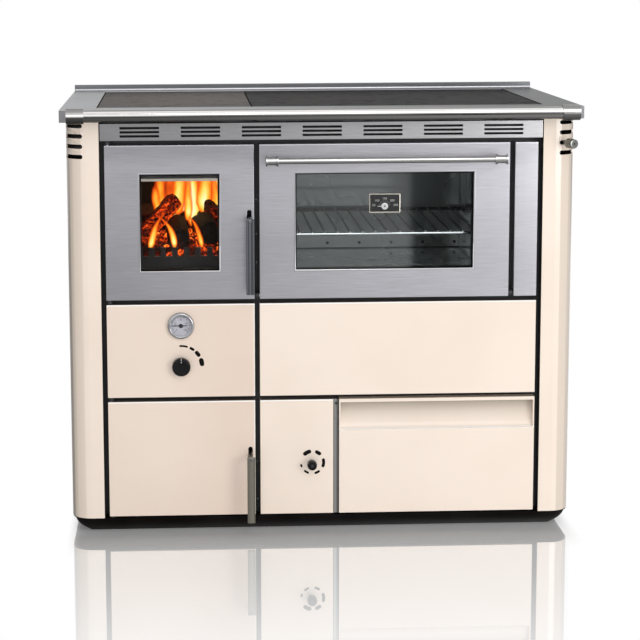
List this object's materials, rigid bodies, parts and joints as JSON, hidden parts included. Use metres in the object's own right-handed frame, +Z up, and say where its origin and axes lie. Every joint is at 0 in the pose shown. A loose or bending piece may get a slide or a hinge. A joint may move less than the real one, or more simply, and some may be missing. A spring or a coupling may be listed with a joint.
{
  "type": "hydronic wood stove",
  "caption": "Wood-fired kitchen range with steel hob, glazed fire door, drop-down oven door, ash door, wood drawer and a boiler jacket for radiators.",
  "frame": {"origin": "on the floor, under the middle of the worktop", "axes": "+X to the user's right along the front, -Y out of the doors, +Z up"},
  "size_m": [1.0556, 0.6905, 0.893],
  "materials": {
    "enamel_cream": "smooth gloss enamel",
    "brushed_steel": "brushed",
    "black_paint": "satin",
    "cast_iron": "ground",
    "boiler_steel": "matt heat-proof paint",
    "oven_enamel": "speckled enamel",
    "galvanised": "galvanised",
    "chrome": "polished",
    "glass": "clear heat-proof",
    "rope_seal": "braided rope",
    "firebrick": "rough",
    "brass": "turned",
    "knob_black": "satin",
    "dial_white": "printed dial",
    "pointer": "painted"
  },
  "bodies": {
    "root": {"plinth": "black_paint", "base_plate": "black_paint", "corner_posts": "enamel_cream", "side_panels": "brushed_steel", "back_panel": "boiler_steel", "front_frame": "black_paint", "fascia": "brushed_steel", "worktop": "brushed_steel", "upstand": "brushed_steel", "handrail": "chrome", "handrail_sockets": "chrome", "narrow_panel": "brushed_steel", "boiler_panel": "enamel_cream", "soot_panel": "enamel_cream", "air_panel": "enamel_cream", "divider_strip": "brushed_steel", "hinge_lugs": "black_paint", "gauge_bezel": "chrome", "gauge_dial": "dial_white", "gauge_glass": "glass", "damper_pivot": "boiler_steel", "drawer_runners": "boiler_steel", "boiler_shell": "boiler_steel", "firebox": "boiler_steel", "boiler_sockets": "brass", "fire_bricks": "firebrick", "grate": "cast_iron", "ash_box": "boiler_steel", "ash_pan": "galvanised", "oven_liner": "oven_enamel", "oven_rack": "chrome", "flue": "boiler_steel"},
    "fire_door": {"fire_door": "brushed_steel", "fire_door_liner": "boiler_steel", "fire_glass": "glass", "fire_seal": "rope_seal", "fire_door_pins": "chrome"},
    "fire_handle": {"fire_handle": "brushed_steel"},
    "oven_door": {"oven_door": "brushed_steel", "oven_door_liner": "boiler_steel", "oven_glass": "glass", "oven_seal": "rope_seal", "oven_door_pins": "chrome", "oven_bar": "chrome", "oven_bar_ends": "chrome", "oven_thermometer": "knob_black"},
    "oven_pointer": {"oven_pointer": "pointer"},
    "ash_door": {"ash_door": "enamel_cream", "ash_door_liner": "boiler_steel", "ash_seal": "rope_seal", "ash_door_pins": "chrome"},
    "ash_handle": {"ash_handle": "brushed_steel"},
    "gauge_pointer": {"gauge_pointer": "pointer"},
    "draught_knob": {"draught_knob": "knob_black"},
    "air_knob": {"air_knob": "knob_black"},
    "damper_lever": {"damper_lever": "chrome"},
    "drawer": {"drawer_front": "enamel_cream", "drawer_box": "boiler_steel"},
    "cooking_plate_left": {"cooking_plate_left": "cast_iron"},
    "cooking_plate_right": {"cooking_plate_right": "cast_iron"}
  },
  "joints": [
    {"name": "fire_door_hinge", "type": "hinge", "parent": "root", "child": "fire_door", "pos_m": [-0.43375, -0.272, 0.6483], "axis": [0, 0, -1], "range_deg": [0, 110]},
    {"name": "fire_handle_lift", "type": "hinge", "parent": "fire_door", "child": "fire_handle", "pos_m": [-0.14825, -0.269, 0.655], "axis": [-1, 0, 0], "range_deg": [0, 35]},
    {"name": "oven_door_hinge", "type": "hinge", "parent": "root", "child": "oven_door", "pos_m": [0.12725, -0.272, 0.496], "axis": [1, 0, 0], "range_deg": [0, 88]},
    {"name": "oven_pointer_turn", "type": "hinge", "parent": "oven_door", "child": "oven_pointer", "pos_m": [0.12725, -0.2799, 0.6783], "axis": [0, 1, 0], "range_deg": [-45, 225]},
    {"name": "ash_door_hinge", "type": "hinge", "parent": "root", "child": "ash_door", "pos_m": [-0.43375, -0.272, 0.1583], "axis": [0, 0, -1], "range_deg": [0, 110]},
    {"name": "ash_handle_lift", "type": "hinge", "parent": "ash_door", "child": "ash_handle", "pos_m": [-0.14825, -0.269, 0.163], "axis": [-1, 0, 0], "range_deg": [0, 35]},
    {"name": "gauge_pointer_turn", "type": "hinge", "parent": "root", "child": "gauge_pointer", "pos_m": [-0.289, -0.2824, 0.437], "axis": [0, 1, 0], "range_deg": [-45, 225]},
    {"name": "draught_knob_turn", "type": "hinge", "parent": "root", "child": "draught_knob", "pos_m": [-0.289, -0.272, 0.352], "axis": [0, 1, 0], "range_deg": [0, 90]},
    {"name": "air_knob_turn", "type": "hinge", "parent": "root", "child": "air_knob", "pos_m": [-0.02225, -0.272, 0.145], "axis": [0, -1, 0], "range_deg": [0, 300]},
    {"name": "damper_swing", "type": "hinge", "parent": "root", "child": "damper_lever", "pos_m": [0.47575, -0.238, 0.8047], "axis": [0, 0, 1], "range_deg": [0, 50]},
    {"name": "drawer_slide", "type": "slide", "parent": "root", "child": "drawer", "axis": [0, -1, 0], "range_m": [0, 0.38]},
    {"name": "plate_left_lift", "type": "slide", "parent": "root", "child": "cooking_plate_left", "axis": [0, 0, 1], "range_m": [0, 0.08]},
    {"name": "plate_right_lift", "type": "slide", "parent": "root", "child": "cooking_plate_right", "axis": [0, 0, 1], "range_m": [0, 0.08]}
  ]
}
